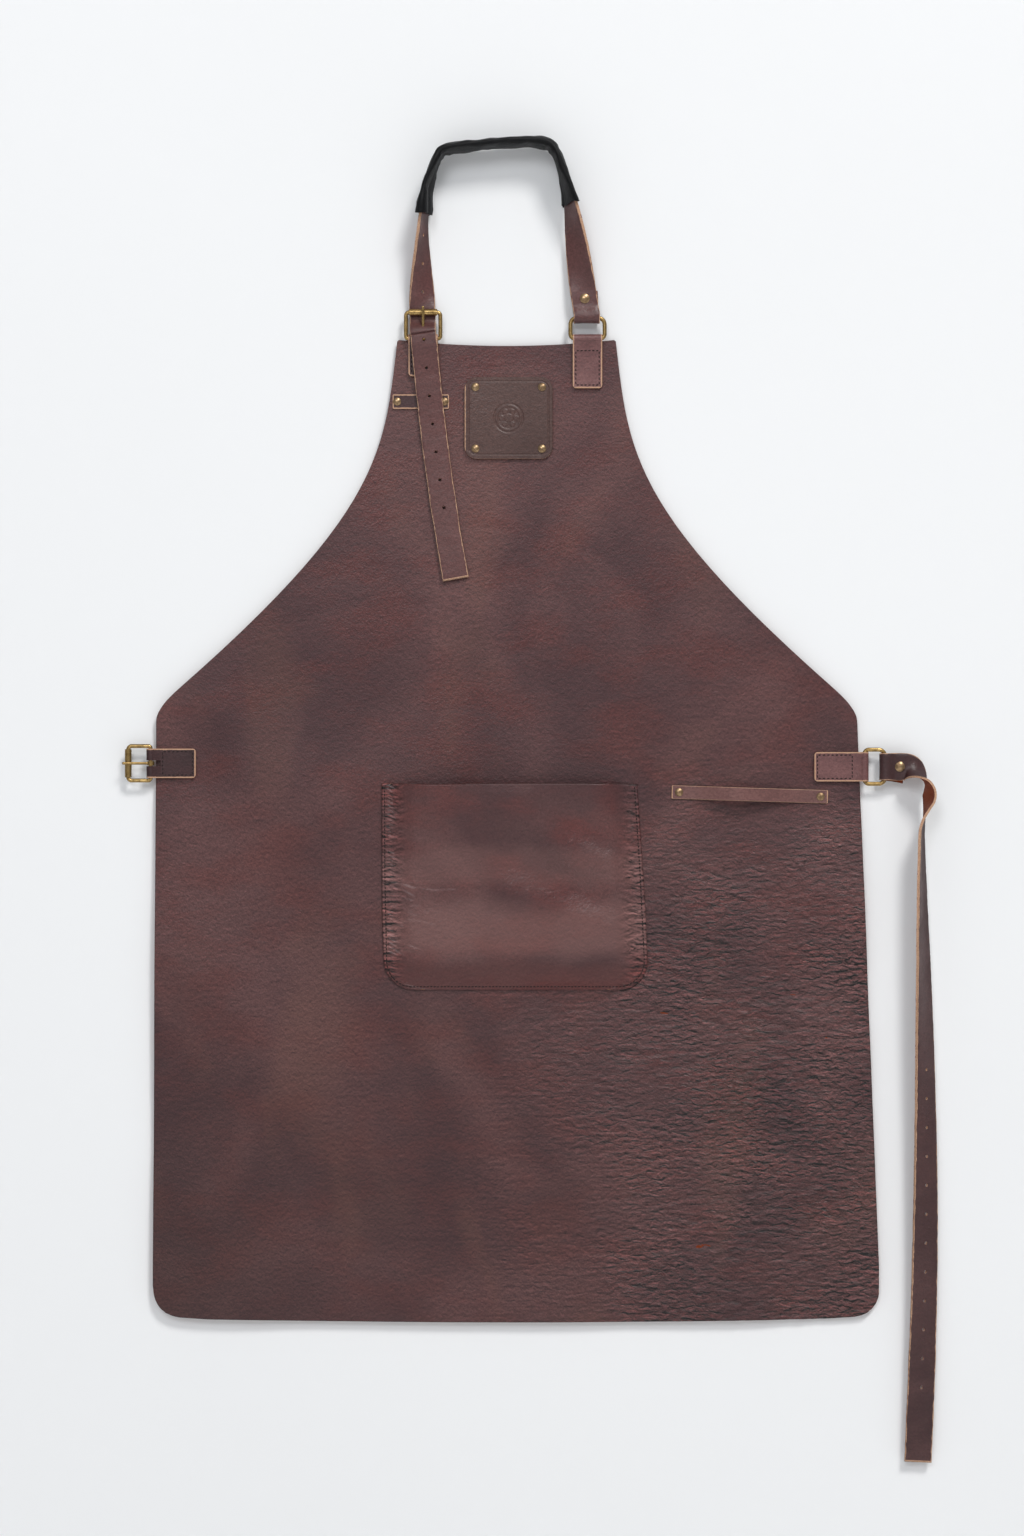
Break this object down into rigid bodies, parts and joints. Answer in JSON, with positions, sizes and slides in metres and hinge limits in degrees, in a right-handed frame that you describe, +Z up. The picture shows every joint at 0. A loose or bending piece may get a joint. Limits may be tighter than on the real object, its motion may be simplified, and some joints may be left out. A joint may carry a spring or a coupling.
{
  "type": "butcher apron",
  "caption": "Full-length leather work apron: bib panel, patch pocket, label patch, tool loop, buckled neck strap with soft sleeve, waist buckle and hanging waist strap on a ring.",
  "frame": {"origin": "middle of the bib's top edge, on the panel's back face", "axes": "+Z up the apron, -Y out of its front, +X to the right of someone looking at the front"},
  "size_m": [0.7095, 0.0328, 1.1524],
  "materials": {
    "leather_panel": "semi-matt",
    "leather_strap": "semi-matt",
    "leather_dark": "semi-matt",
    "leather_flesh": "matt",
    "sleeve_black": "soft",
    "thread": "waxed",
    "brass": "antique",
    "rivet_metal": "antique"
  },
  "bodies": {
    "apron": {"apron_panel": "leather_panel", "pocket_panel": "leather_panel", "pocket_stitching": "thread", "label_patch": "leather_panel", "label_rivets": "rivet_metal", "label_rivet_backs": "rivet_metal", "keeper_strap": "leather_dark", "keeper_rivets": "rivet_metal", "keeper_rivet_backs": "rivet_metal", "tool_loop": "leather_flesh", "tool_loop_rivets": "rivet_metal", "tool_loop_rivet_backs": "rivet_metal", "neck_buckle_tab": "leather_dark", "neck_buckle_tab_stitching": "thread", "neck_ring_tab": "leather_strap", "neck_ring_tab_stitching": "thread", "waist_buckle_tab": "leather_dark", "waist_buckle_tab_stitching": "thread", "waist_ring_tab": "leather_flesh", "waist_ring_tab_stitching": "thread"},
    "neck_loop": {"neck_buckle_frame": "brass", "neck_strap": "leather_strap", "neck_sleeve": "sleeve_black", "neck_strap_rivet": "rivet_metal", "neck_strap_rivet_back": "rivet_metal"},
    "neck_roller": {"neck_buckle_roller": "brass"},
    "neck_prong": {"neck_buckle_prong": "brass"},
    "neck_ring_body": {"neck_ring": "brass"},
    "neck_tail": {"neck_strap_tail": "leather_strap"},
    "waist_buckle": {"waist_buckle_frame": "brass"},
    "waist_roller": {"waist_buckle_roller": "brass"},
    "waist_prong": {"waist_buckle_prong": "brass"},
    "waist_ring_body": {"waist_ring": "brass"},
    "waist_strap_body": {"waist_strap": "leather_dark", "waist_strap_rivet": "rivet_metal", "waist_strap_rivet_back": "rivet_metal"}
  },
  "joints": [
    {"name": "neck_loop_swing", "type": "hinge", "parent": "apron", "child": "neck_loop", "pos_m": [-0.0725, -0.0055, 0.006], "axis": [-1, 0, 0], "range_deg": [-12, 75]},
    {"name": "neck_ring_swing", "type": "hinge", "parent": "apron", "child": "neck_ring_body", "pos_m": [0.0705, -0.0055, 0.006], "axis": [-1, 0, 0], "range_deg": [-12, 75]},
    {"name": "neck_roller_spin", "type": "hinge", "parent": "neck_loop", "child": "neck_roller", "pos_m": [-0.0725, -0.0055, 0.0288], "axis": [1, 0, 0], "continuous": true},
    {"name": "neck_prong_play", "type": "hinge", "parent": "neck_loop", "child": "neck_prong", "pos_m": [-0.0725, -0.0055, 0.006], "axis": [1, 0, 0], "range_deg": [0, 4]},
    {"name": "neck_tail_lift", "type": "hinge", "parent": "apron", "child": "neck_tail", "pos_m": [-0.0721, -0.0106, 0.009], "axis": [-1, 0, 0], "range_deg": [0, 90]},
    {"name": "waist_buckle_swing", "type": "hinge", "parent": "apron", "child": "waist_buckle", "pos_m": [-0.3095, -0.0055, -0.3635], "axis": [0, 0, -1], "range_deg": [-120, 75]},
    {"name": "waist_roller_spin", "type": "hinge", "parent": "waist_buckle", "child": "waist_roller", "pos_m": [-0.329, -0.0055, -0.3635], "axis": [0, 0, 1], "continuous": true},
    {"name": "waist_prong_swing", "type": "hinge", "parent": "waist_buckle", "child": "waist_prong", "pos_m": [-0.3095, -0.0055, -0.3635], "axis": [0, 0, 1], "range_deg": [0, 150]},
    {"name": "waist_ring_swing", "type": "hinge", "parent": "apron", "child": "waist_ring_body", "pos_m": [0.3113, -0.0055, -0.3665], "axis": [0, 0, 1], "range_deg": [-110, 75]},
    {"name": "waist_strap_swing", "type": "hinge", "parent": "waist_ring_body", "child": "waist_strap_body", "pos_m": [0.3293, -0.0055, -0.3665], "axis": [0, 0, 1], "range_deg": [-30, 30]}
  ],
  "couplings": [
    {"joint": "neck_ring_swing", "follows": "neck_loop_swing", "ratio": 1}
  ]
}
